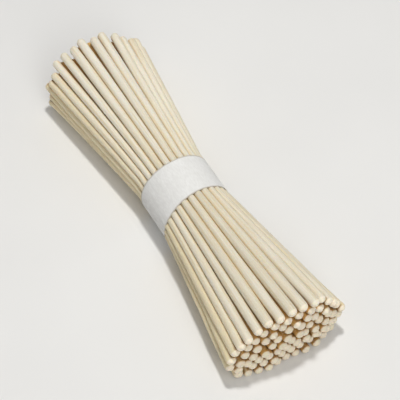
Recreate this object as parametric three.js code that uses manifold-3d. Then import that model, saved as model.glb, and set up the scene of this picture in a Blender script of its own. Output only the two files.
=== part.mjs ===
// A sheaf of dried wheat noodles, tied round the middle with a paper band and lying on its side.
// Millimetres, +Z up. X runs along the noodles, Y across them. The origin is under the middle of the
// sheaf, on the surface that it lies on.
import * as THREE from "three";
import { mergeVertices } from "three/addons/utils/BufferGeometryUtils.js";
import Module from "manifold-3d";

// Driving dimensions.
const LENGTH = 190; // a noodle from tip to tip
const LENGTH_SPREAD = [2.2, 1.1]; // how far a tip stands out or falls short, at -X and at +X
const RINGS = [29, 23, 17, 11, 4]; // noodles in each ring of the waist, from the paper inwards
const RING_REACH = [16.9, 13.4, 9.9, 6.3, 2.6]; // and the rings' radii
const NOODLE_DIAMETER = 3.55; // in the waist
const DIAMETER_SPREAD = 0.07; // share by which one noodle is thicker or thinner
const SWELL = [0.22, 0.36]; // share by which a noodle thickens towards its -X and +X tips
const WAIST_RADIUS = 18.7; // inside of the paper band
const WAIST_FLAT = 1.0; // how far the waist is pressed flat underneath
const FLARE_WIDTH = [1.56, 1.63]; // the -X and +X ends against the waist, across
const FLARE_HEIGHT = [1.18, 1.13]; // and upwards
const LEAN = [-0.6, 3.6]; // how far each end swings sideways
const SKEW = [0.3, -0.7]; // how far a noodle at +Y stands out along X against one in the middle
const BULGE = [1.0, 4.5]; // how far the middle of each end stands out beyond its sides
const FLARE_SOFTNESS = 0.015; // how gently the noodles bend as they leave the band
const SAG = 0.4; // how far the fanned ends sink towards the surface below
const CROWDING = 0.12; // how far the inner noodles spread outwards between the outer ones
const SPACING = 0.05; // share of their width that noodles keep apart at the tips, where there is room
const TIP_WANDER = 0.7; // how far a noodle's end strays sideways from an even fan
const PAPER = 0.25;
const PAPER_EDGES = [-7.2, 14.2]; // where the paper starts and ends along the noodles
const PAPER_GAP = 0.2; // paper to noodle
const SEAM_ANGLE = -0.62; // the glued overlap, low on the far side
const SEAM_LENGTH = 9;

// The sheaf is worked out at cross-sections, called stations, an even step apart. The noodles are
// pressed together between those at -WAIST_END and WAIST_END, a little further than the paper goes.
const STATIONS = 29;
const STEP = LENGTH / (STATIONS - 1);
const WAIST_END = 2 * STEP;
const SEED = 20;

// Noodles that start within this distance of the waist's middle are packed too deep to show between
// the tips, so one solid core stands for them there.
const CORE_RADIUS = 12;
const CORE_END = LENGTH / 2 - 11;

// Faceting.
const SIDES = 6;
const TIP_RINGS = 2;
const BENDS = [-28, -WAIST_END, WAIST_END, 28]; // where a whole noodle bends
const CORE_STATIONS = 13;
const CORE_SIDES = 20;
const BAND_SEGMENTS = 90;

// A repeatable stream of numbers from 0 to 1.
function numberStream(seed) {
  let state = seed;
  return () => {
    state = (state * 1664525 + 1013904223) % 4294967296;
    return state / 4294967296;
  };
}

const random = numberStream(SEED);
const spread = () => 2 * random() - 1;

// 0 in the waist, 1 at the tips: a hyperbola, so the noodles leave the waist straight.
function flare(x) {
  const run = (Math.abs(x) - WAIST_END) / (LENGTH / 2 - WAIST_END);
  const t = Math.min(Math.max(run, 0), 1);
  const c = FLARE_SOFTNESS;
  return (Math.hypot(t, c) - c) / (Math.hypot(1, c) - c);
}

const waistHeight = WAIST_RADIUS - WAIST_FLAT + PAPER + PAPER_GAP;
const stationX = Array.from({ length: STATIONS }, (_, k) => k * STEP - LENGTH / 2);
const inWaist = (x) => Math.abs(x) < WAIST_END + STEP / 4;
const radiusAt = (noodle, x) => noodle.radius * (1 + SWELL[x < 0 ? 0 : 1] * flare(x));

// Each noodle's radius, its place in the waist, and how its two ends stray and stand out.
function drawNoodles() {
  return RINGS.flatMap((count, ring) => {
    const phase = random();
    return Array.from({ length: count }, (_, k) => {
      const angle = (2 * Math.PI * (k + phase)) / count;
      const side = (RING_REACH[ring] * Math.cos(angle)) / WAIST_RADIUS;
      const middle = 1 - side * side;
      return {
        hidden: RING_REACH[ring] < CORE_RADIUS,
        radius: (NOODLE_DIAMETER / 2) * (1 + DIAMETER_SPREAD * spread()),
        waist: [RING_REACH[ring] * Math.cos(angle), RING_REACH[ring] * Math.sin(angle)],
        stray: [
          [TIP_WANDER * spread(), TIP_WANDER * spread()],
          [TIP_WANDER * spread(), TIP_WANDER * spread()],
        ],
        ends: [
          -LENGTH / 2 + SKEW[0] * side - BULGE[0] * middle + LENGTH_SPREAD[0] * spread(),
          LENGTH / 2 + SKEW[1] * side + BULGE[1] * middle + LENGTH_SPREAD[1] * spread(),
        ],
      };
    });
  });
}

// Where an even fan takes a point of the waist, given from the waist's middle, by the time it is at x.
function fanPoint([across, up], x) {
  const f = flare(x);
  const end = x < 0 ? 0 : 1;
  const out = (Math.hypot(across, up) / WAIST_RADIUS) ** (-CROWDING * f);
  const y = across * out * (1 + (FLARE_WIDTH[end] - 1) * f) + LEAN[end] * f;
  const share = (up * out + WAIST_RADIUS) / (2 * WAIST_RADIUS);
  const top = 2 * WAIST_RADIUS * (1 + (FLARE_HEIGHT[end] - 1) * f);
  return [y, top * share ** (1 + SAG * f) + waistHeight - WAIST_RADIUS];
}

// The even fan at each station, with each noodle a little astray towards its tips.
function evenFan(noodles) {
  return stationX.map((x) =>
    noodles.map(({ waist, stray }) => {
      const [y, z] = fanPoint(waist, x);
      const [strayY, strayZ] = stray[x < 0 ? 0 : 1];
      return [y + strayY * flare(x), z + strayZ * flare(x)];
    }),
  );
}

// Moves noodles apart where they cross, a share of the way at a time.
function pushApart(section, radii, room, share) {
  const moves = section.map(() => [0, 0]);
  for (let i = 0; i < section.length; i++)
    for (let j = i + 1; j < section.length; j++) {
      const dy = section[i][0] - section[j][0];
      const dz = section[i][1] - section[j][1];
      const distance = Math.hypot(dy, dz) + 1e-9;
      const overlap = (radii[i] + radii[j]) * room - distance;
      if (overlap <= 0) continue;
      const push = (share * overlap) / distance;
      moves[i][0] += dy * push;
      moves[i][1] += dz * push;
      moves[j][0] -= dy * push;
      moves[j][1] -= dz * push;
    }
  section.forEach((p, i) => {
    p[0] += moves[i][0];
    p[1] += moves[i][1];
  });
}

// Keeps every noodle inside the paper at the waist, and off the surface that the sheaf lies on.
function hold(section, radii, banded) {
  const floor = banded ? PAPER + PAPER_GAP : 0;
  section.forEach((p, i) => {
    if (banded) {
      const reach = Math.hypot(p[0], p[1] - waistHeight);
      const limit = WAIST_RADIUS - radii[i];
      if (reach > limit) {
        p[0] *= limit / reach;
        p[1] = waistHeight + ((p[1] - waistHeight) * limit) / reach;
      }
    }
    p[1] = Math.max(p[1], floor + radii[i]);
  });
}

// Lets the even fan settle: noodles lie side by side, each in one smooth sweep.
function settle(noodles, rounds = 180, lastRounds = 30) {
  const fan = evenFan(noodles);
  const radii = stationX.map((x) => noodles.map((noodle) => radiusAt(noodle, x)));
  const sections = fan.map((section) => section.map((p) => [...p]));
  for (let round = 0; round < rounds; round++) {
    sections.forEach((section, k) =>
      pushApart(section, radii[k], 1 + SPACING * flare(stationX[k]), 0.42),
    );
    if (round < rounds - lastRounds) {
      const before = sections.map((section) => section.map((p) => [...p]));
      for (let k = 0; k < STATIONS; k++)
        for (let i = 0; i < noodles.length; i++)
          for (let c = 0; c < 2; c++) {
            const here = before[k][i][c];
            const ends = k === 0 || k === STATIONS - 1;
            const bend = ends ? 0 : (before[k - 1][i][c] + before[k + 1][i][c]) / 2 - here;
            sections[k][i][c] = here + 0.25 * bend + 0.03 * (fan[k][i][c] - here);
          }
    }
    sections.forEach((section, k) => hold(section, radii[k], inWaist(stationX[k])));
  }
  return sections;
}

// The noodles with their settled paths, centred over the origin.
function sheaf() {
  const noodles = drawNoodles();
  const sections = settle(noodles);
  const edges = [0, STATIONS - 1].flatMap((k) =>
    noodles.flatMap((noodle, i) => {
      const radius = radiusAt(noodle, stationX[k]);
      return [sections[k][i][0] - radius, sections[k][i][0] + radius];
    }),
  );
  const middleY = (Math.min(...edges) + Math.max(...edges)) / 2;
  const tips = noodles.map(({ ends }) => ends);
  const middleX = (Math.min(...tips.map((t) => t[0])) + Math.max(...tips.map((t) => t[1]))) / 2;
  noodles.forEach((noodle, i) => {
    noodle.path = sections.map((section) => [section[i][0] - middleY, section[i][1]]);
    noodle.ends = noodle.ends.map((x) => x - middleX);
  });
  return { noodles, middleX, middleY };
}

const { noodles, middleX, middleY } = sheaf();

// A noodle's centre at x, straight between stations and beyond the last, and never too low.
function centreAt(noodle, x) {
  const place = (x + middleX + LENGTH / 2) / STEP;
  const k = Math.min(Math.max(Math.floor(place), 0), STATIONS - 2);
  const [a, b] = [noodle.path[k], noodle.path[k + 1]];
  const [y, z] = [0, 1].map((c) => a[c] + (b[c] - a[c]) * (place - k));
  return [y, Math.max(z, radiusAt(noodle, x + middleX))];
}

// A round-ended rod that follows the noodle from one x to another, with a ring of points at each bend.
function rod(noodle, from, to, bends) {
  const radius = noodle.radius * (1 + Math.max(...SWELL));
  const straight = to - from - 2 * radius;
  const segments = bends.length + 1;
  // The quarter turn about its own axis puts a corner, not a flat, of its hexagon underneath.
  const shape = new THREE.CapsuleGeometry(radius, straight, TIP_RINGS, SIDES, segments)
    .rotateY(Math.PI / 2)
    .rotateZ(-Math.PI / 2)
    .translate((from + to) / 2, 0, 0);
  const points = shape.getAttribute("position");
  for (let i = 0; i < points.count; i++) {
    const ring = Math.round((segments * (points.getX(i) - from - radius)) / straight);
    const x = bends[ring - 1] ?? points.getX(i);
    const [y, z] = centreAt(noodle, x);
    const thickness = radiusAt(noodle, x + middleX) / radius;
    points.setXYZ(i, x, points.getY(i) * thickness + y, points.getZ(i) * thickness + z);
  }
  return shape;
}

// The sheaf's cross-section at x, from the circle of that radius at the waist.
function crossSection(radius, x) {
  return Array.from({ length: CORE_SIDES }, (_, i) => {
    const angle = (2 * Math.PI * i) / CORE_SIDES;
    const [y, z] = fanPoint([radius * Math.cos(angle), radius * Math.sin(angle)], x + middleX);
    return new THREE.Vector3(x, y - middleY, z);
  });
}

// A closed solid through rings of points, capped flat at both ends.
function loft(rings) {
  const count = rings[0].length;
  const points = rings.flat();
  const faces = [];
  for (let k = 0; k < rings.length - 1; k++)
    for (let i = 0; i < count; i++) {
      const [a, b] = [k * count + i, k * count + ((i + 1) % count)];
      faces.push(a, b, b + count, a, b + count, a + count);
    }
  for (let i = 1; i < count - 1; i++) {
    const last = (rings.length - 1) * count;
    faces.push(0, i + 1, i, last, last + i, last + i + 1);
  }
  const shape = new THREE.BufferGeometry().setFromPoints(points);
  shape.setIndex(faces);
  return shape;
}

// A waisted solid from one x to another.
function waisted(radius, from, to, stations) {
  const rings = Array.from({ length: stations }, (_, k) =>
    crossSection(radius, from + ((to - from) * k) / (stations - 1)),
  );
  return loft(rings);
}

// The deepest noodles, pressed together, and the grip of the band on all of them.
const [paperStart, paperStop] = PAPER_EDGES.map((x) => x - middleX);
const core = () => waisted(CORE_RADIUS, -CORE_END, CORE_END, CORE_STATIONS);
const grip = () =>
  waisted(WAIST_RADIUS - NOODLE_DIAMETER / 2, paperStart + 1, paperStop - 1, 2);

const wasm = await Module();
wasm.setup();

function solid(shape) {
  const bare = new THREE.BufferGeometry();
  bare.setAttribute("position", shape.getAttribute("position"));
  bare.setIndex(shape.getIndex());
  const merged = mergeVertices(bare, 1e-4);
  return new wasm.Manifold(
    new wasm.Mesh({
      numProp: 3,
      vertProperties: merged.getAttribute("position").array,
      triVerts: new Uint32Array(merged.getIndex().array),
    }),
  );
}

function geometry(made) {
  const { numProp, numVert, vertProperties, triVerts } = made.getMesh();
  const positions = new Float32Array(numVert * 3);
  for (let i = 0; i < numVert; i++)
    positions.set(vertProperties.subarray(i * numProp, i * numProp + 3), i * 3);
  const shape = new THREE.BufferGeometry();
  shape.setAttribute("position", new THREE.BufferAttribute(positions, 3));
  shape.setIndex(new THREE.BufferAttribute(new Uint32Array(triVerts), 1));
  shape.computeVertexNormals();
  return shape;
}

// The largest connected body: hollows that the joining sealed, and scraps, are dropped.
const mainBody = (made) => made.decompose().reduce((a, b) => (a.volume() >= b.volume() ? a : b));

// Noodles that show run the whole way. Those in the core are seen only at their ends.
function noodleRods() {
  const root = CORE_END - 3;
  return noodles.flatMap((noodle) => {
    const [from, to] = noodle.ends;
    if (noodle.hidden)
      return [rod(noodle, from, -root, []), rod(noodle, root, to, [])];
    return [rod(noodle, from, to, BENDS)];
  });
}

function noodleBundle() {
  const pieces = [core(), grip(), ...noodleRods()].map(solid);
  const joined = wasm.Manifold.union(pieces).simplify(0.01);
  return geometry(mainBody(joined));
}

// The paper strip's outline across the sheaf: round, pressed flat underneath, with a thicker
// stretch where its two ends are glued over each other.
function paperOutline(offset, seamStep) {
  const shape = new THREE.Shape();
  const radius = WAIST_RADIUS + PAPER_GAP;
  const seamTurn = SEAM_LENGTH / radius;
  for (let i = 0; i < BAND_SEGMENTS; i++) {
    const angle = (2 * Math.PI * i) / BAND_SEGMENTS;
    const fromSeam = Math.abs(Math.atan2(Math.sin(angle - SEAM_ANGLE), Math.cos(angle - SEAM_ANGLE)));
    const reach = radius + offset + (fromSeam < seamTurn / 2 ? seamStep : 0);
    const y = reach * Math.cos(angle) - middleY;
    const z = Math.max(waistHeight + reach * Math.sin(angle), PAPER - offset);
    shape[i ? "lineTo" : "moveTo"](y, z);
  }
  return shape;
}

function paperBand() {
  const outer = paperOutline(PAPER, PAPER);
  outer.holes.push(new THREE.Path(paperOutline(0, 0).getPoints().reverse()));
  const depth = paperStop - paperStart;
  const shape = new THREE.ExtrudeGeometry(outer, { depth, bevelEnabled: false });
  // The outline's (y, z) becomes (Y, Z), and the depth runs along X.
  const axes = new THREE.Matrix4().makeBasis(
    new THREE.Vector3(0, 1, 0),
    new THREE.Vector3(0, 0, 1),
    new THREE.Vector3(1, 0, 0),
  );
  return shape.applyMatrix4(axes).translate(paperStart, 0, 0);
}

const noodleFinish = new THREE.MeshStandardMaterial({ color: 0xe8dfc4, roughness: 0.75 });
const paperFinish = new THREE.MeshStandardMaterial({ color: 0xf1f0ee, roughness: 0.9 });

function named(name, shape, finish) {
  const mesh = new THREE.Mesh(shape, finish);
  mesh.name = name;
  return mesh;
}

const bundle = new THREE.Group();
bundle.add(named("noodles", noodleBundle(), noodleFinish));
bundle.add(named("paper_band", paperBand(), paperFinish));

export default bundle;
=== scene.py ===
"""A sheaf of dried wheat noodles, tied round the middle with a paper band and lying on its side.

X runs along the noodles, Y across them and Z up. The layout is worked out in millimetres, by the same
rule and with the same seeded draws as the solids' own, and every mesh is made in metres.
"""

import math

import bmesh
import bpy
import numpy as np
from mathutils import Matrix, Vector

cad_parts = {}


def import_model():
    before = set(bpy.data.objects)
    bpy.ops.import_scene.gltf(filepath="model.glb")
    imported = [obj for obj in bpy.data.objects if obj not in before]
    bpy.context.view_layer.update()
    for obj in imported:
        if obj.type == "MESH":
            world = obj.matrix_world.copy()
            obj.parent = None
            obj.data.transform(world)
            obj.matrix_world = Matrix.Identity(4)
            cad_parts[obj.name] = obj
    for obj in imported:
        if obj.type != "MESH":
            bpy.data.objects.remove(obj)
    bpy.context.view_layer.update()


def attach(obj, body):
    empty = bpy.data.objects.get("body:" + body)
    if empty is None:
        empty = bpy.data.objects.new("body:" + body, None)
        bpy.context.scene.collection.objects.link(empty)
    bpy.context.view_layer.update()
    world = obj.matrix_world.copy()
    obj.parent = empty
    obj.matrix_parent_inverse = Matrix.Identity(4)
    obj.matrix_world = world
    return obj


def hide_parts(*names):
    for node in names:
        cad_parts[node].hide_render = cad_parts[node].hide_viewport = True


MM = 0.001

# The sheaf's driving dimensions, in millimetres. They are the solid noodles' own. Where there are two
# values for the ends, the first is for the -X end and the second for the +X end.
LENGTH = 190.0
LENGTH_SPREAD = (2.2, 1.1)  # how far a tip stands out or falls short
RINGS = (29, 23, 17, 11, 4)  # noodles in each ring of the waist, from the paper inwards
RING_REACH = (16.9, 13.4, 9.9, 6.3, 2.6)  # how far each ring lies from the middle of the waist
NOODLE_COUNT = sum(RINGS)
NOODLE_DIAMETER = 3.55  # in the waist
DIAMETER_SPREAD = 0.07  # share by which a noodle may be thicker or thinner
SWELL = (0.22, 0.36)  # share by which a noodle thickens towards its tips
WAIST_RADIUS = 18.7
WAIST_FLAT = 1.0  # how far the round waist is pressed flat where it lies
FLARE_WIDTH = (1.56, 1.63)  # the ends against the waist, across
FLARE_HEIGHT = (1.18, 1.13)  # and upwards
FLARE_SOFTNESS = 0.015  # more makes a softer bend where the noodles leave the waist
LEAN = (-0.6, 3.6)  # how far each end lies towards +Y
SKEW = (0.3, -0.7)  # how far a noodle at +Y stands out along X against one in the middle
BULGE = (1.0, 4.5)  # how far the middle of each end stands out beyond its sides
SAG = 0.4  # more lets the noodles lie lower towards the tips
CROWDING = 0.12  # more takes the inner noodles further out towards the tips
SPACING = 0.05  # share of their width that noodles keep apart at the tips, where there is room
TIP_WANDER = 0.7  # how far a tip strays across and up
PAPER = 0.25
PAPER_EDGES = (-7.2, 14.2)  # where the paper starts and ends along the noodles
PAPER_GAP = 0.2  # between the noodles and the paper
SEAM_ANGLE = -0.62  # the middle of the paper's overlap, in radians from +Y upwards
SEAM_LENGTH = 9.0
SEAM_START = SEAM_ANGLE - SEAM_LENGTH / 2 / (WAIST_RADIUS + PAPER_GAP)
STATIONS = 29
STEP = LENGTH / (STATIONS - 1)
WAIST_END = 2 * STEP  # the noodles are pressed together this far to each side
WAIST_HEIGHT = WAIST_RADIUS - WAIST_FLAT + PAPER + PAPER_GAP
SEED = 20

# How the noodles settle between one another.
SETTLING_ROUNDS = 180
LAST_ROUNDS = 30  # these only push apart, and smooth nothing
PUSH_SHARE = 0.42  # share of a crossing that one round clears
BEND_SHARE = 0.25  # share of a kink that one round takes out
FAN_PULL = 0.03  # share of the way back to the even fan

# A noodle's mesh.
SIDES = 16
BODY_RINGS = 44
TIP_RINGS = 6
TIP_DEPTH = 1.0  # a tip's rounding along the noodle, against its radius
TIP_SQUARENESS = 2.15  # 2 is a round dome, more is a flatter cut with a rounded rim
TIP_FLAT = 0.3  # the flat in the middle of a tip, against the noodle's radius
PLUMPNESS = 0.12  # share by which the outer noodles are thicker than their solids, at the most
PLUMP_FADE = 30.0  # millimetres at each tip over which that fades out
UNEVENNESS = 0.045  # share by which a noodle's thickness swings
LUMP_SIZE = 12 * MM
DENT_DEPTH = 0.05 * MM
DENTS_PER_METRE = 900.0

# The paper band's mesh, in millimetres where nothing else is said.
BAND_POINTS_ROUND = 420
BAND_POINTS_ACROSS = 26
OUTLINE_POINTS = 2880
PAPER_TAUTNESS = 0.45  # 0 is a smooth ring, 1 is pulled flat between the noodles under it
PAPER_SHELL = 0.96 * PAPER  # the strip's own thickness
LAP_LIFT = 1.02 * PAPER  # how far the overlap stands off the beginning of the strip
CLIMB_POINTS = 5  # points round the band in which the strip climbs up to there
NEAR_EDGE_DROOP = 3.4  # how far the +X edge stands out past the solid's, low on the -Y side
DROOP_FROM = math.radians(20)  # where it doesn't, from +Y upwards
EDGE_LIFT = 0.06  # how far both edges lift off the noodles
END_CURL = 0.22  # how far the corners of the glued end lift
END_CURL_POINTS = 13  # points round the band in which they do
SHARPEST_BEND = math.radians(40)  # the paper shades smoothly up to this

# Waves in the paper: length, height, where each starts, and how far its start moves at the +X edge.
EDGE_WAVES = ((31.0, 0.09, 0.4, 0.0), (13.0, 0.05, 2.0, 1.0))
CREASES = ((9.7, 0.018, 1.0, 0.0), (23.0, 0.02, 0.0, 1.0))
CREASE_SLANT = 3.0  # how far a crease runs round between the strip's middle and an edge

# Where each mark on the noodles starts, and where it is full; most of them place painted shade. All
# but the one for shade low on the sheaf are in millimetres.
UNDER_THE_SKIN = (1.0, 4.5)  # how far inside the sheaf's outer surface, for painted shade inside it
AT_THE_ENDS = (40.0, 5.0)  # how far from the tips
BEHIND_THE_ENDS = (10.0, 30.0)
AT_THE_RIMS = (7.0, 2.5)
GROOVE_SHADE_GAP = (1.2, 0.1)  # how near the next noodle is, for painted shade in the grooves, where noodles touch and round the tips
CONTACT_SHADE_GAP = (0.75, 0.1)
RIM_SHADE_GAP = (1.4, 0.3)
LOW_SHADE_HEIGHT = (0.9, 0.35)  # how high up, against the sheaf's height there, for painted shade low on the sheaf
FAR_END = (50.0, -80.0)  # along X
GRAIN_SHIFT = 9.0  # keeps each noodle's grain its own
PAPER_LOW_SHADE_HEIGHT = (0.85, 0.35)  # how high up the band, against its height, for painted shade low on the band

# Grain in the noodles and in the paper, in metres.
NOODLE_GRAIN = {
    "broad": {"along": 0.06, "across": 0.006, "detail": 2.0},
    "shades": {"along": 0.04, "across": 0.0009, "detail": 2.0, "low": 0.48, "high": 0.68},
    "streaks": {"along": 0.018, "across": 0.0006, "detail": 3.0, "low": 0.4, "high": 0.68},
    "flour": {"along": 0.0009, "across": 0.0005, "detail": 4.0, "low": 0.5, "high": 0.72},
}
FIBRES = {"along": 0.0022, "across": 0.0007, "detail": 5.0}
PAPER_CLOUD = {"along": 0.006, "across": 0.006, "detail": 3.0}
FLOOR_CLOUD = {"along": 0.12, "across": 0.12, "detail": 3.0}

# The noodles' colours. Over the two doughs lie these layers: a mask, its strength and its colour.
COOL_DOUGH = (0.735, 0.685, 0.575)
WARM_DOUGH = (0.665, 0.60, 0.46)
NOODLE_LAYERS = (
    ("paleness", 0.5, (0.90, 0.865, 0.775)),
    ("broad", 0.25, (0.72, 0.64, 0.44)),
    ("shades", 0.5, (0.66, 0.54, 0.29)),
    ("streaks", 0.35, (0.88, 0.85, 0.75)),
    # Painted warm shade low on the sheaf.
    ("low_shade", 0.7, (0.79, 0.66, 0.385)),
    # Painted warm shade in the grooves between noodles.
    ("groove_shade", 0.75, (0.85, 0.68, 0.40)),
    # Painted brown shade where noodles touch.
    ("contact_shade", 0.7, (0.50, 0.37, 0.19)),
    # Painted warm shade inside the sheaf.
    ("inner", 0.75, (0.88, 0.62, 0.27)),
    # Painted deep shade inside the sheaf, towards the tips.
    ("depth", 0.9, (0.57, 0.31, 0.07)),
    # Painted dark shade in the gaps round the tips.
    ("rim_shade", 0.95, (0.23, 0.11, 0.018)),
    ("cut", 0.85, (0.93, 0.84, 0.68)),
    # Painted dark shade round the tips, where the next noodle is near.
    ("outline", 0.75, (0.42, 0.22, 0.055)),
    ("flour", 0.25, (0.95, 0.93, 0.88)),
)

PAPER_WHITE = ((0.80, 0.80, 0.785), (0.84, 0.84, 0.83))
# The paper's grey fibres, shown more low on the band as painted shade.
PAPER_FIBRE = (0.665, 0.66, 0.64)
# Painted shadow along the paper's cut edges.
PAPER_EDGE_SHADOW = (0.42, 0.36, 0.27)
FLOOR_WHITE = ((0.79, 0.79, 0.785), (0.815, 0.815, 0.81))

# The photograph's view: two angles, metres, the lens in millimetres and its shift.
VIEW_TURN = math.radians(61.4)
VIEW_RISE = math.radians(52.0)
VIEW_DISTANCE = 0.8
VIEW_AIM = (-0.0010, -0.0012, 0.020)
LENS = 146.4
LENS_SHIFT = (0.0363, -0.0247)

# The studio, in metres. Each light has a place, a width, a power and a colour.
FLOOR_HALF = 3.0
SKY_COLOUR = (1.0, 0.99, 0.975, 1.0)
SKY_STRENGTH = 0.23
LIGHTS = {
    "key": ((-0.06, 0.07, 1.30), 0.12, 8.4, (1.0, 0.99, 0.965)),
    "window": ((-0.95, 0.95, 0.9), 0.9, 0.9, (1.0, 0.995, 0.98)),
    "near end": ((1.7, -0.35, 1.05), 0.85, 6.2, (1.0, 0.985, 0.96)),
    "fill": ((1.0, -0.14, 1.42), 1.2, 7.4, (1.0, 0.99, 0.97)),
}


# ---------------------------------------------------------------- the sheaf's layout


def number_stream(seed):
    """A repeatable stream of numbers from 0 to 1."""
    state = seed
    while True:
        state = (state * 1664525 + 1013904223) % 4294967296
        yield state / 4294967296


def ease(low, high, values):
    """From 0 at low to 1 at high, without a corner."""
    t = np.clip((values - low) / (high - low), 0, 1)
    return t * t * (3 - 2 * t)


def flare(x):
    """0 in the waist, 1 at the tips: a hyperbola, so the noodles leave the waist straight."""
    t = np.clip((np.abs(x) - WAIST_END) / (LENGTH / 2 - WAIST_END), 0, 1)
    c = FLARE_SOFTNESS
    return (np.hypot(t, c) - c) / (math.hypot(1, c) - c)


def draw_noodles():
    """Each noodle's radius, its place in the waist, how its ends stray, and where they stop."""
    stream = number_stream(SEED)

    def spread():
        return 2 * next(stream) - 1

    radius, waist, stray, ends = [], [], [], []
    for count, reach in zip(RINGS, RING_REACH):
        phase = next(stream)
        for k in range(count):
            angle = 2 * math.pi * (k + phase) / count
            radius.append(NOODLE_DIAMETER / 2 * (1 + DIAMETER_SPREAD * spread()))
            waist.append([reach * math.cos(angle), reach * math.sin(angle)])
            stray.append([[TIP_WANDER * spread(), TIP_WANDER * spread()] for _ in range(2)])
            side = reach * math.cos(angle) / WAIST_RADIUS
            middle = 1 - side * side
            far = -LENGTH / 2 + SKEW[0] * side - BULGE[0] * middle + LENGTH_SPREAD[0] * spread()
            near = LENGTH / 2 + SKEW[1] * side + BULGE[1] * middle + LENGTH_SPREAD[1] * spread()
            ends.append([far, near])
    return map(np.array, (radius, waist, stray, ends))


def at_end(pair, x):
    """The -X or the +X value of a pair, whichever end x is nearer to."""
    return np.where(np.asarray(x) < 0, pair[0], pair[1])


def swell(x):
    """How thick a noodle is at x, against its thickness in the waist."""
    return 1 + at_end(SWELL, x) * flare(x)


def even_fan(x, waist, stray):
    """Where an even fan takes each noodle, with each a little astray towards its tips."""
    f = flare(x)[:, None]
    out = (np.hypot(waist[:, 0], waist[:, 1]) / WAIST_RADIUS)[None, :] ** (-CROWDING * f)
    wide = 1 + (at_end(FLARE_WIDTH, x)[:, None] - 1) * f
    top = 2 * WAIST_RADIUS * (1 + (at_end(FLARE_HEIGHT, x)[:, None] - 1) * f)
    share = (waist[None, :, 1] * out + WAIST_RADIUS) / (2 * WAIST_RADIUS)
    side = np.where(x < 0, 0, 1)
    y = waist[None, :, 0] * out * wide + (at_end(LEAN, x)[:, None] + stray[:, side, 0].T) * f
    z = top * share ** (1 + SAG * f) + WAIST_HEIGHT - WAIST_RADIUS + stray[:, side, 1].T * f
    return np.stack([y, z], -1)


def push_apart(places, needed):
    """Moves noodles apart where they cross, a share of the way at a time."""
    gaps = places[:, :, None, :] - places[:, None, :, :]
    distance = np.sqrt((gaps**2).sum(-1)) + 1e-9
    push = np.maximum(0, needed - distance) / distance
    each = np.arange(NOODLE_COUNT)
    push[:, each, each] = 0
    return places + PUSH_SHARE * (gaps * push[..., None]).sum(2)


def smooth(places, fan):
    """Keeps each noodle one sweep, and draws it gently towards the even fan."""
    bend = np.zeros_like(places)
    bend[1:-1] = (places[:-2] + places[2:]) / 2 - places[1:-1]
    return places + BEND_SHARE * bend + FAN_PULL * (fan - places)


def hold(places, radii, banded):
    """Keeps noodles inside the paper at the waist, and off the surface that they lie on."""
    middle = np.array([0, WAIST_HEIGHT])
    away = places - middle
    reach = np.maximum(np.sqrt((away**2).sum(-1)), 1e-9)
    shrink = np.where(banded, np.minimum(1, (WAIST_RADIUS - radii) / reach), 1)
    places = middle + away * shrink[..., None]
    floor = np.where(banded, PAPER + PAPER_GAP, 0)
    places[..., 1] = np.maximum(places[..., 1], floor + radii)
    return places


def settle(x, fan, radii):
    """Lets the even fan settle, so that noodles lie side by side."""
    places = fan.copy()
    needed = (radii[:, :, None] + radii[:, None, :]) * (1 + SPACING * flare(x))[:, None, None]
    banded = (np.abs(x) < WAIST_END + STEP / 4)[:, None]
    for turn in range(SETTLING_ROUNDS):
        places = push_apart(places, needed)
        if turn < SETTLING_ROUNDS - LAST_ROUNDS:
            places = smooth(places, fan)
        places = hold(places, radii, banded)
    return places


class Sheaf:
    """The settled noodles, centred over the origin."""

    def __init__(self):
        self.radius, waist, stray, ends = draw_noodles()
        x = np.linspace(-LENGTH / 2, LENGTH / 2, STATIONS)
        radii = self.radius[None, :] * swell(x)[:, None]
        places = settle(x, even_fan(x, waist, stray), radii)
        tips = [0, -1]
        low = (places[tips, :, 0] - radii[tips]).min()
        high = (places[tips, :, 0] + radii[tips]).max()
        self.middle = np.array([(ends[:, 0].min() + ends[:, 1].max()) / 2, (low + high) / 2])
        self.ends = ends - self.middle[0]
        self.places = places - np.array([self.middle[1], 0])

    def flare(self, x):
        return flare(np.asarray(x) + self.middle[0])

    def top_at(self, x):
        """How high the sheaf stands at each x."""
        rise = (at_end(FLARE_HEIGHT, np.asarray(x) + self.middle[0]) - 1) * self.flare(x)
        return 2 * WAIST_RADIUS * (1 + rise)

    def radii_at(self, x):
        """Every noodle's radius at each x."""
        return self.radius[None, :] * swell(x + self.middle[0])[:, None]

    def radius_at(self, noodle, x):
        return self.radius[noodle] * swell(x + self.middle[0])

    def from_tips(self, noodle, x):
        """How far each x is from the nearer tip of the noodle."""
        return np.minimum(x - self.ends[noodle, 0], self.ends[noodle, 1] - x)

    def centres_at(self, x):
        """Every noodle's centre at each x, on a smooth curve through the stations, never too low."""
        place = (np.asarray(x) + self.middle[0] + LENGTH / 2) / STEP
        k = np.clip(np.floor(place).astype(int), 0, STATIONS - 2)
        t = (place - k)[:, None, None]
        before = self.places[np.maximum(k - 1, 0)]
        a, b = self.places[k], self.places[k + 1]
        after = self.places[np.minimum(k + 2, STATIONS - 1)]
        inside = (t > 0) & (t < 1)
        slope_a, slope_b = (b - before) / 2, (after - a) / 2
        curve = (
            (2 * t**3 - 3 * t**2 + 1) * a
            + (t**3 - 2 * t**2 + t) * slope_a
            + (3 * t**2 - 2 * t**3) * b
            + (t**3 - t**2) * slope_b
        )
        centres = np.where(inside, curve, a + (b - a) * t)
        centres[..., 1] = np.maximum(centres[..., 1], self.radii_at(x))
        return centres


# ---------------------------------------------------------------- node helpers


def link(tree, start, end):
    tree.links.new(start, end)


def put(socket, value):
    """Sets a socket, or links it where the value is another socket."""
    if isinstance(value, bpy.types.NodeSocket):
        socket.id_data.links.new(value, socket)
    else:
        socket.default_value = value


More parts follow.
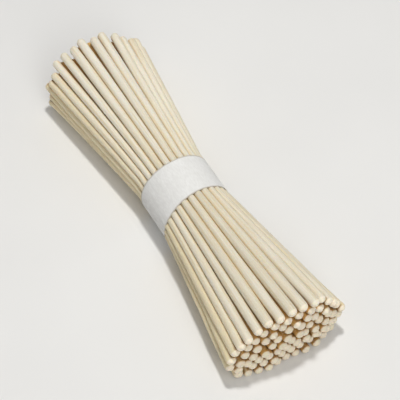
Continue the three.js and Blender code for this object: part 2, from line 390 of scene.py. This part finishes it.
def maths(tree, operation, *values, clamp=False):
    """One step of arithmetic on numbers or sockets."""
    node = tree.nodes.new("ShaderNodeMath")
    node.operation = operation
    node.use_clamp = clamp
    for socket, value in zip(node.inputs, values):
        put(socket, value)
    return node.outputs[0]


def named_inputs(tree, sockets):
    """Adds the tree's inputs, and returns their sockets by name."""
    for name, kind, value in sockets:
        socket = tree.interface.new_socket(name, in_out="INPUT", socket_type=kind)
        if value is not None:
            socket.default_value = value
    return tree.nodes.new("NodeGroupInput").outputs


# ---------------------------------------------------------------- materials


def grain_group():
    """Soft grain, longer one way than the other, as a mask from 0 to 1. All of it is in metres."""
    tree = bpy.data.node_groups.new("Grain", "ShaderNodeTree")
    given = named_inputs(
        tree,
        [
            ("Place", "NodeSocketVector", None),
            ("Along", "NodeSocketFloat", 0.01),
            ("Across", "NodeSocketFloat", 0.001),
            ("Detail", "NodeSocketFloat", 3.0),
            ("Low", "NodeSocketFloat", 0.35),
            ("High", "NodeSocketFloat", 0.65),
        ],
    )
    tree.interface.new_socket("Mask", in_out="OUTPUT", socket_type="NodeSocketFloat")
    parts = tree.nodes.new("ShaderNodeSeparateXYZ")
    link(tree, given["Place"], parts.inputs[0])
    scaled = tree.nodes.new("ShaderNodeCombineXYZ")
    for axis, size in (("X", "Along"), ("Y", "Across"), ("Z", "Across")):
        link(tree, maths(tree, "DIVIDE", parts.outputs[axis], given[size]), scaled.inputs[axis])
    noise = tree.nodes.new("ShaderNodeTexNoise")
    link(tree, scaled.outputs[0], noise.inputs["Vector"])
    noise.inputs["Scale"].default_value = 1.0
    link(tree, given["Detail"], noise.inputs["Detail"])
    spread = tree.nodes.new("ShaderNodeMapRange")
    link(tree, noise.outputs["Fac"], spread.inputs["Value"])
    link(tree, given["Low"], spread.inputs["From Min"])
    link(tree, given["High"], spread.inputs["From Max"])
    out = tree.nodes.new("NodeGroupOutput")
    link(tree, spread.outputs["Result"], out.inputs["Mask"])
    return tree


def grain(tree, group, place, sizes):
    """The grain group's mask, with its own sizes."""
    node = tree.nodes.new("ShaderNodeGroup")
    node.node_tree = group
    link(tree, place, node.inputs["Place"])
    for name, value in sizes.items():
        node.inputs[name.capitalize()].default_value = value
    return node.outputs["Mask"]


def blend(tree, mask, below, above):
    """One colour over another, where the mask says."""
    node = tree.nodes.new("ShaderNodeMix")
    node.data_type = "RGBA"
    put(node.inputs["Factor"], mask)
    for socket, colour in ((node.inputs[6], below), (node.inputs[7], above)):
        put(socket, colour if isinstance(colour, bpy.types.NodeSocket) else (*colour, 1.0))
    return node.outputs[2]


def surface_value(tree, name, output="Fac"):
    """A value that the mesh carries."""
    node = tree.nodes.new("ShaderNodeAttribute")
    node.attribute_name = name
    return node.outputs[output]


def object_place(tree):
    return tree.nodes.new("ShaderNodeTexCoord").outputs["Object"]


def new_material(name, roughness, specular):
    material = bpy.data.materials.new(name)
    material.use_nodes = True
    shader = material.node_tree.nodes["Principled BSDF"]
    shader.inputs["Roughness"].default_value = roughness
    shader.inputs["Specular IOR Level"].default_value = specular
    return material, material.node_tree, shader


def add_bump(tree, shader, height, strength, distance):
    bump = tree.nodes.new("ShaderNodeBump")
    bump.inputs["Strength"].default_value = strength
    bump.inputs["Distance"].default_value = distance
    link(tree, height, bump.inputs["Height"])
    link(tree, bump.outputs["Normal"], shader.inputs["Normal"])


def noodle_masks(tree, group):
    """Where each layer of the noodles' colours lies, from 0 to 1."""
    place = surface_value(tree, "flow", "Vector")
    masks = {name: grain(tree, group, place, sizes) for name, sizes in NOODLE_GRAIN.items()}
    tip = surface_value(tree, "tip")
    # A cut end starts where the tip value is 0.65 and is full a little further out.
    masks["cut"] = maths(tree, "MULTIPLY_ADD", tip, 8.0, -5.2, clamp=True)
    behind = maths(tree, "SUBTRACT", 1.0, masks["cut"])
    # All but the paleness place painted shade: low on the sheaf, in the grooves and where noodles
    # touch.
    for name in ("paleness", "low_shade", "groove_shade", "contact_shade"):
        masks[name] = surface_value(tree, name)
    # Painted shade inside the sheaf and in the gaps round the tips, kept off the cut ends.
    for name in ("inner", "depth", "rim_shade"):
        masks[name] = maths(tree, "MULTIPLY", surface_value(tree, name), behind)
    # Painted dark shade round the tips, where the next noodle is near.
    masks["outline"] = maths(tree, "MULTIPLY", maths(tree, "POWER", masks["groove_shade"], 1.6), tip)
    return masks


def noodle_material(group):
    """Dry, matt dough: floury, streaky and pale at the cuts, with painted shade low down, inside the
    sheaf and brown where noodles touch.
    """
    material, tree, shader = new_material("dry_noodle", 0.6, 0.35)
    shader.inputs["Subsurface Weight"].default_value = 0.15
    shader.inputs["Subsurface Radius"].default_value = (1.0, 0.6, 0.3)
    shader.inputs["Subsurface Scale"].default_value = 1.2 * MM

    masks = noodle_masks(tree, group)
    body = blend(tree, surface_value(tree, "tint"), COOL_DOUGH, WARM_DOUGH)
    for name, strength, colour in NOODLE_LAYERS:
        body = blend(tree, maths(tree, "MULTIPLY", masks[name], strength), body, colour)
    link(tree, body, shader.inputs["Base Color"])
    roughness = maths(tree, "MULTIPLY_ADD", masks["flour"], 0.25, 0.55)
    link(tree, roughness, shader.inputs["Roughness"])
    relief = maths(tree, "ADD", maths(tree, "MULTIPLY", masks["streaks"], 0.6), masks["flour"])
    add_bump(tree, shader, relief, 0.35, 0.06 * MM)
    return material


def paper_material(group):
    """White paper with grey fibres, shown more low on the band as painted shade, and painted shadow
    at its cut edges.
    """
    material, tree, shader = new_material("white_paper", 0.9, 0.25)
    place = object_place(tree)
    fibres = grain(tree, group, place, FIBRES)
    cloud = grain(tree, group, place, PAPER_CLOUD)
    body = blend(tree, cloud, *PAPER_WHITE)
    # Painted shade: the fibres show more low on the band.
    shown = maths(tree, "MULTIPLY_ADD", surface_value(tree, "low_shade"), 0.4, 0.35)
    body = blend(tree, maths(tree, "MULTIPLY", fibres, shown), body, PAPER_FIBRE)
    # Painted shadow along the paper's cut edges.
    rim_shade = maths(tree, "MULTIPLY", surface_value(tree, "edge"), 0.75)
    body = blend(tree, rim_shade, body, PAPER_EDGE_SHADOW)
    link(tree, body, shader.inputs["Base Color"])
    link(tree, maths(tree, "MULTIPLY_ADD", fibres, 0.12, 0.82), shader.inputs["Roughness"])
    add_bump(tree, shader, maths(tree, "ADD", fibres, cloud), 0.3, 0.08 * MM)
    return material


def floor_material(group):
    material, tree, shader = new_material("pale_floor", 0.95, 0.1)
    cloud = grain(tree, group, object_place(tree), FLOOR_CLOUD)
    link(tree, blend(tree, cloud, *FLOOR_WHITE), shader.inputs["Base Color"])
    return material


# ---------------------------------------------------------------- meshes and their values


def plain_mesh(maker, name):
    """The maker object's finished mesh, on an object with no modifiers."""
    graph = bpy.context.evaluated_depsgraph_get()
    mesh = bpy.data.meshes.new_from_object(maker.evaluated_get(graph))
    old = maker.data
    maker.modifiers.clear()
    bpy.data.objects.remove(maker)
    bpy.data.meshes.remove(old)
    mesh.name = name
    made = bpy.data.objects.new(name, mesh)
    bpy.context.collection.objects.link(made)
    return made


def read_points(mesh):
    """The mesh's points in millimetres."""
    points = np.empty(len(mesh.vertices) * 3)
    mesh.vertices.foreach_get("co", points)
    return points.reshape(-1, 3) / MM


def read_value(mesh, name):
    values = np.empty(len(mesh.vertices))
    mesh.attributes[name].data.foreach_get("value", values)
    return values


def write_points(mesh, points):
    mesh.vertices.foreach_set("co", (points * MM).ravel())
    mesh.update()


def write_value(mesh, name, values):
    attribute = mesh.attributes.new(name, "FLOAT", "POINT")
    attribute.data.foreach_set("value", values.astype(np.float32))


def write_vector(mesh, name, values):
    attribute = mesh.attributes.new(name, "FLOAT_VECTOR", "POINT")
    attribute.data.foreach_set("vector", (values * MM).astype(np.float32).ravel())


# ---------------------------------------------------------------- the noodles


def ring_places(start, stop, tip_start, tip_stop):
    """Where a noodle has rings of points: close together round its tips, even between them."""
    turn = np.linspace(0, math.pi / 2, TIP_RINGS + 1)[:-1]
    first = start + tip_start * (1 - np.cos(turn))
    last = stop - tip_stop * (1 - np.cos(turn))
    body = np.linspace(start + tip_start, stop - tip_stop, BODY_RINGS)
    return np.concatenate([first, body, last[::-1]])


def plumpness(sheaf, noodle, x):
    """A noodle's thickness against its solid's: an outer one has more, between paper and tips."""
    if noodle >= RINGS[0]:
        return np.ones(len(x))
    fade = ease(0.0, PLUMP_FADE, sheaf.from_tips(noodle, x))
    return 1 + PLUMPNESS * np.sqrt(sheaf.flare(x)) * fade


def centre_lines(sheaf):
    """Every noodle's middle line as one mesh of edges, with its thickness and tint."""
    points, thickness, tint, owner, edges = [], [], [], [], []
    stream = number_stream(SEED + 1)
    for i in range(NOODLE_COUNT):
        start, stop = sheaf.ends[i]
        tip_start = TIP_DEPTH * sheaf.radius_at(i, start)
        tip_stop = TIP_DEPTH * sheaf.radius_at(i, stop)
        x = ring_places(start, stop, tip_start, tip_stop)
        first = len(owner)
        centres = sheaf.centres_at(x)[:, i]
        points.append(np.column_stack([x, centres]) * MM)
        thickness.append(sheaf.radius_at(i, x) * plumpness(sheaf, i, x) * MM)
        tint.append(np.full(len(x), next(stream)))
        owner.extend([i] * len(x))
        edges.extend([k, k + 1] for k in range(first, first + len(x) - 1))
    mesh = bpy.data.meshes.new("centre_lines")
    mesh.from_pydata(np.concatenate(points).tolist(), edges, [])
    write_value(mesh, "thickness", np.concatenate(thickness))
    write_value(mesh, "tint", np.concatenate(tint))
    write_value(mesh, "noodle", np.array(owner, float))
    return mesh


def noise_swing(tree, scale):
    """Soft noise that swings about 0."""
    noise = tree.nodes.new("ShaderNodeTexNoise")
    put(noise.inputs["Scale"], scale)
    noise.inputs["Detail"].default_value = 1.0
    return maths(tree, "SUBTRACT", noise.outputs["Fac"], 0.5)


def distance_from_tip(tree):
    along = tree.nodes.new("GeometryNodeSplineParameter").outputs["Length"]
    whole = tree.nodes.new("GeometryNodeSplineLength").outputs["Length"]
    return maths(tree, "MINIMUM", along, maths(tree, "SUBTRACT", whole, along))


def tip_dome(tree, given, from_tip, thickness):
    """The share of its thickness that a noodle has: all of it, but less in the round of a tip."""
    rounding = maths(tree, "MULTIPLY", thickness, given["Tip depth"])
    body = maths(tree, "DIVIDE", from_tip, rounding, clamp=True)
    short = maths(tree, "SUBTRACT", 1.0, body)
    missing = maths(tree, "POWER", short, given["Tip squareness"])
    root = maths(tree, "DIVIDE", 1.0, given["Tip squareness"])
    dome = maths(tree, "POWER", maths(tree, "SUBTRACT", 1.0, missing), root)
    return maths(tree, "MAXIMUM", dome, TIP_FLAT)


def lumps(tree, given):
    """A noodle's thickness against an even one's, a little more or less along it."""
    swing = noise_swing(tree, maths(tree, "DIVIDE", 1.0, given["Lump size"]))
    reach = maths(tree, "MULTIPLY", given["Unevenness"], 2.0)
    return maths(tree, "MULTIPLY_ADD", swing, reach, 1.0)


def marked_tips(tree, curve, from_tip, thickness):
    """The middle lines with a value that is 1 on a tip and 0 one thickness behind it."""
    tip = tree.nodes.new("GeometryNodeStoreNamedAttribute")
    tip.inputs["Name"].default_value = "tip"
    link(tree, curve, tip.inputs["Geometry"])
    width = maths(tree, "MULTIPLY", thickness, 2.0)
    behind = maths(tree, "DIVIDE", from_tip, width, clamp=True)
    link(tree, maths(tree, "SUBTRACT", 1.0, behind), tip.inputs["Value"])
    return tip.outputs["Geometry"]


def skinned(tree, given, curve, radius):
    """Round noodles on the middle lines, closed at their tips."""
    profile = tree.nodes.new("GeometryNodeCurvePrimitiveCircle")
    profile.inputs["Radius"].default_value = 1.0
    link(tree, given["Sides"], profile.inputs["Resolution"])
    skin = tree.nodes.new("GeometryNodeCurveToMesh")
    link(tree, curve, skin.inputs["Curve"])
    link(tree, profile.outputs["Curve"], skin.inputs["Profile Curve"])
    link(tree, radius, skin.inputs["Scale"])
    skin.inputs["Fill Caps"].default_value = True
    return skin.outputs["Mesh"]


def dented(tree, given, mesh):
    """The noodles with shallow dents in their skin."""
    depth = maths(tree, "MULTIPLY", noise_swing(tree, DENTS_PER_METRE), given["Dent depth"])
    push = tree.nodes.new("ShaderNodeVectorMath")
    push.operation = "SCALE"
    link(tree, tree.nodes.new("GeometryNodeInputNormal").outputs["Normal"], push.inputs[0])
    link(tree, depth, push.inputs["Scale"])
    moved = tree.nodes.new("GeometryNodeSetPosition")
    link(tree, mesh, moved.inputs["Geometry"])
    link(tree, push.outputs[0], moved.inputs["Offset"])
    return moved.outputs["Geometry"]


def finish_tree(tree, mesh, material):
    """Ends the tree: smooth shading, real geometry and its material."""
    shaded = tree.nodes.new("GeometryNodeSetShadeSmooth")
    real = tree.nodes.new("GeometryNodeRealizeInstances")
    coated = tree.nodes.new("GeometryNodeSetMaterial")
    coated.inputs["Material"].default_value = material
    out = tree.nodes.new("NodeGroupOutput")
    link(tree, mesh, shaded.inputs[0])
    link(tree, shaded.outputs[0], real.inputs[0])
    link(tree, real.outputs[0], coated.inputs["Geometry"])
    link(tree, coated.outputs[0], out.inputs["Geometry"])


def noodle_tree(material):
    """Turns middle lines into noodles with rounded tips and an uneven thickness."""
    tree = bpy.data.node_groups.new("Noodles on their middle lines", "GeometryNodeTree")
    given = named_inputs(
        tree,
        [
            ("Geometry", "NodeSocketGeometry", None),
            ("Sides", "NodeSocketInt", SIDES),
            ("Tip depth", "NodeSocketFloat", TIP_DEPTH),
            ("Tip squareness", "NodeSocketFloat", TIP_SQUARENESS),
            ("Unevenness", "NodeSocketFloat", UNEVENNESS),
            ("Lump size", "NodeSocketFloat", LUMP_SIZE),
            ("Dent depth", "NodeSocketFloat", DENT_DEPTH),
        ],
    )
    tree.interface.new_socket("Geometry", in_out="OUTPUT", socket_type="NodeSocketGeometry")

    curve = tree.nodes.new("GeometryNodeMeshToCurve")
    link(tree, given["Geometry"], curve.inputs["Mesh"])
    stored = tree.nodes.new("GeometryNodeInputNamedAttribute")
    stored.inputs["Name"].default_value = "thickness"
    thickness = stored.outputs["Attribute"]
    from_tip = distance_from_tip(tree)
    domed = maths(tree, "MULTIPLY", thickness, tip_dome(tree, given, from_tip, thickness))
    radius = maths(tree, "MULTIPLY", domed, lumps(tree, given))
    lines = marked_tips(tree, curve.outputs["Curve"], from_tip, thickness)
    mesh = dented(tree, given, skinned(tree, given, lines, radius))
    finish_tree(tree, mesh, material)
    return tree


def inside_skin(sheaf, x, across):
    """How far inside the sheaf's outer surface each point lies, in millimetres."""
    f = sheaf.flare(x)
    wide = WAIST_RADIUS * (1 + (at_end(FLARE_WIDTH, x) - 1) * f)
    top = sheaf.top_at(x)
    share = np.clip((across[:, 1] - WAIST_HEIGHT + WAIST_RADIUS) / top, 0, 1) ** (1 / (1 + SAG * f))
    y = (across[:, 0] + sheaf.middle[1] - at_end(LEAN, x) * f) / wide
    z = 2 * share - 1
    return (1 - np.hypot(y, z)) * (wide + top / 2) / 2


def noodle_marks(sheaf, noodle, x, across, gap):
    """What one noodle's colours follow at each of its points, from 0 to 1; all but the paleness place
    painted shade.
    """
    inner = ease(*UNDER_THE_SKIN, inside_skin(sheaf, x, across))
    tips = sheaf.from_tips(noodle, x)
    return {
        "depth": inner * ease(*AT_THE_ENDS, tips),
        "groove_shade": ease(*GROOVE_SHADE_GAP, gap),
        "rim_shade": ease(*RIM_SHADE_GAP, gap) * ease(*AT_THE_RIMS, tips),
        "low_shade": ease(*LOW_SHADE_HEIGHT, across[:, 1] / sheaf.top_at(x)),
        "inner": inner,
        "contact_shade": ease(*CONTACT_SHADE_GAP, gap) * ease(*BEHIND_THE_ENDS, tips),
        "paleness": ease(*FAR_END, x),
    }


def mark_noodles(mesh, sheaf):
    """Writes the marks on the mesh: how deep in the sheaf, how low and how near the next noodle each
    point lies, for painted shade, and a place that runs straight along each noodle, for its grain to
    follow."""
    points = read_points(mesh)
    owner = np.rint(read_value(mesh, "noodle")).astype(int)
    flow = points.copy()
    marks = {}
    for i in range(NOODLE_COUNT):
        mine = np.flatnonzero(owner == i)
        x, across = points[mine, 0], points[mine, 1:]
        centres = sheaf.centres_at(x)
        flow[mine, 1:] = across - centres[:, i] + GRAIN_SHIFT * i
        gaps = np.sqrt(((across[:, None, :] - centres) ** 2).sum(-1)) - sheaf.radii_at(x)
        gaps[:, i] = np.inf
        for name, values in noodle_marks(sheaf, i, x, across, gaps.min(1)).items():
            marks.setdefault(name, np.zeros(len(points)))[mine] = values
    write_vector(mesh, "flow", flow)
    for name, values in marks.items():
        write_value(mesh, name, values)


def make_noodles(sheaf, material):
    maker = bpy.data.objects.new("noodle_maker", centre_lines(sheaf))
    bpy.context.collection.objects.link(maker)
    modifier = maker.modifiers.new("noodles", "NODES")
    modifier.node_group = noodle_tree(material)
    made = plain_mesh(maker, "noodle_sheaf")
    points = read_points(made.data)
    points[:, 2] = np.maximum(points[:, 2], 0)
    write_points(made.data, points)
    mark_noodles(made.data, sheaf)
    return made


# ---------------------------------------------------------------- the paper band


def taut_outline(sheaf):
    """The paper's inner outline round the waist, part smooth ring and part pulled flat."""
    angle = SEAM_START + np.linspace(0, 2 * math.pi, OUTLINE_POINTS, endpoint=False)
    out = np.column_stack([np.cos(angle), np.sin(angle)])
    centres = sheaf.centres_at(np.zeros(1))[0]
    reach = out @ centres.T + sheaf.radius[None, :]
    touched = reach.argmax(1)
    pulled = centres[touched] + (sheaf.radius[touched] + PAPER_GAP)[:, None] * out
    radius = WAIST_RADIUS + PAPER_GAP
    ring = np.array([-sheaf.middle[1], WAIST_HEIGHT]) + radius * out
    low = ring[:, 1] < PAPER
    corner = math.sqrt(radius**2 - (WAIST_HEIGHT - PAPER) ** 2)
    ring[low, 0] = -sheaf.middle[1] + corner * np.sign(out[low, 0])
    ring[low, 1] = PAPER
    return PAPER_TAUTNESS * pulled + (1 - PAPER_TAUTNESS) * ring


def even_steps(outline, count):
    """The closed outline again, in steps of one length, with its outward directions."""
    closed = np.vstack([outline, outline[:1]])
    run = np.concatenate([[0], np.cumsum(np.hypot(*np.diff(closed, axis=0).T))])
    steps = np.linspace(0, run[-1], count, endpoint=False)
    even = np.column_stack([np.interp(steps, run, closed[:, c]) for c in (0, 1)])
    ahead = np.roll(even, -1, 0) - np.roll(even, 1, 0)
    ahead /= np.hypot(*ahead.T)[:, None]
    return even, np.column_stack([ahead[:, 1], -ahead[:, 0]]), run[-1]


def wave(values, v, waves):
    """A sum of sines. v is -1 at the strip's -X edge and 1 at its +X edge, here and below."""
    return sum(
        height * np.sin(2 * math.pi * values / length + (start + drift * v))
        for length, height, start, drift in waves
    )


def along_noodles(run, turn, v):
    """Where one row of the strip lies along X."""
    middle = sum(PAPER_EDGES) / 2
    half = (PAPER_EDGES[1] - PAPER_EDGES[0]) / 2
    droop = (v + 1) / 2 * NEAR_EDGE_DROOP * (1 - np.cos(turn - DROOP_FROM)) / 2
    return middle + v * half + v * v * v * wave(run, v, EDGE_WAVES) + droop


def off_outline(places, run, v):
    """How far one row of the strip stands off the outline that it follows."""
    last = len(places) - 1
    lap = LAP_LIFT * ease(BAND_POINTS_ROUND - CLIMB_POINTS, BAND_POINTS_ROUND, places)
    crease = wave(run + CREASE_SLANT * v, v, CREASES) + EDGE_LIFT * abs(v) ** 10
    curl = END_CURL * ease(last - END_CURL_POINTS, last, places) * ease(0.2, 1.0, abs(v))
    return lap + crease + curl


def band_points(sheaf):
    """The strip's inner face as rows of points: once round, and on over its own beginning."""
    even, outward, length = even_steps(taut_outline(sheaf), BAND_POINTS_ROUND)
    step = length / BAND_POINTS_ROUND
    places = np.arange(BAND_POINTS_ROUND + round(SEAM_LENGTH / step))
    at = places % BAND_POINTS_ROUND
    run = places * step
    turn = SEAM_START + 2 * math.pi * run / length
    rows = []
    for v in np.linspace(-1, 1, BAND_POINTS_ACROSS):
        section = even[at] + outward[at] * off_outline(places, run, v)[:, None]
        section[:, 1] = np.maximum(section[:, 1], PAPER)
        rows.append(np.column_stack([along_noodles(run, turn, v) - sheaf.middle[0], section]))
    return np.array(rows)


def strip_faces(across, around):
    """Four-sided faces between the strip's points."""
    return [
        (k * around + i, (k + 1) * around + i, (k + 1) * around + i + 1, k * around + i + 1)
        for k in range(across - 1)
        for i in range(around - 1)
    ]


def make_band(sheaf, material):
    rows = band_points(sheaf)
    across, around = rows.shape[:2]
    edge = np.zeros((across, around))
    edge[[0, -1]] = 1
    height = rows[:, :, 2].ravel() / (2 * WAIST_RADIUS)
    mesh = bpy.data.meshes.new("band_strip")
    mesh.from_pydata((rows.reshape(-1, 3) * MM).tolist(), [], strip_faces(across, around))
    # Painted shadow along the paper's cut edges.
    write_value(mesh, "edge", edge.ravel())
    # Painted shade low on the band.
    write_value(mesh, "low_shade", ease(*PAPER_LOW_SHADE_HEIGHT, height))
    mesh.materials.append(material)
    maker = bpy.data.objects.new("band_maker", mesh)
    bpy.context.collection.objects.link(maker)
    thick = maker.modifiers.new("thickness", "SOLIDIFY")
    thick.thickness = PAPER_SHELL * MM
    thick.offset = 1.0
    made = plain_mesh(maker, "paper_strip")
    shade_paper(made.data)
    return made


def shade_paper(mesh):
    """Smooth shading, with the paper's cut edges kept sharp."""
    shape = bmesh.new()
    shape.from_mesh(mesh)
    for face in shape.faces:
        face.smooth = True
    for edge in shape.edges:
        edge.smooth = edge.calc_face_angle(0) < SHARPEST_BEND
    shape.to_mesh(mesh)
    shape.free()


# ---------------------------------------------------------------- the studio


def make_camera():
    """The photograph's view: high, from the sheaf's near end, with a long lens."""
    level = math.cos(VIEW_RISE)
    back = Vector(
        (math.sin(VIEW_TURN) * level, -math.cos(VIEW_TURN) * level, math.sin(VIEW_RISE))
    )
    data = bpy.data.cameras.new("camera")
    data.lens = LENS
    data.sensor_width = 36.0
    data.shift_x, data.shift_y = LENS_SHIFT
    data.clip_end = 20.0
    camera = bpy.data.objects.new("camera", data)
    bpy.context.collection.objects.link(camera)
    camera.location = Vector(VIEW_AIM) + back * VIEW_DISTANCE
    camera.rotation_mode = "QUATERNION"
    camera.rotation_quaternion = (-back).to_track_quat("-Z", "Y")
    bpy.context.scene.camera = camera


def make_floor(material):
    corners = [(-1, -1), (1, -1), (1, 1), (-1, 1)]
    points = [(FLOOR_HALF * x, FLOOR_HALF * y, 0) for x, y in corners]
    mesh = bpy.data.meshes.new("floor")
    mesh.from_pydata(points, [], [(0, 1, 2, 3)])
    mesh.materials.append(material)
    floor = bpy.data.objects.new("floor", mesh)
    bpy.context.collection.objects.link(floor)


def add_light(name, place, size, power, colour):
    """A round, soft light that points at the sheaf."""
    data = bpy.data.lights.new(name, "AREA")
    data.shape = "DISK"
    data.size = size
    data.energy = power
    data.color = colour
    light = bpy.data.objects.new(name, data)
    light.location = place
    light.rotation_mode = "QUATERNION"
    light.rotation_quaternion = (-Vector(place)).to_track_quat("-Z", "Y")
    bpy.context.collection.objects.link(light)


def make_studio():
    world = bpy.data.worlds.new("studio")
    world.use_nodes = True
    sky = world.node_tree.nodes["Background"]
    sky.inputs["Color"].default_value = SKY_COLOUR
    sky.inputs["Strength"].default_value = SKY_STRENGTH
    scene = bpy.context.scene
    scene.world = world
    scene.view_settings.view_transform = "Standard"
    for name, settings in LIGHTS.items():
        add_light(name, *settings)


def main():
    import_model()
    group = grain_group()
    make_camera()
    make_studio()
    make_floor(floor_material(group))

    sheaf = Sheaf()
    noodles = make_noodles(sheaf, noodle_material(group))
    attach(noodles, "root")
    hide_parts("noodles")

    band = make_band(sheaf, paper_material(group))
    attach(band, "root")
    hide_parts("paper_band")


main()
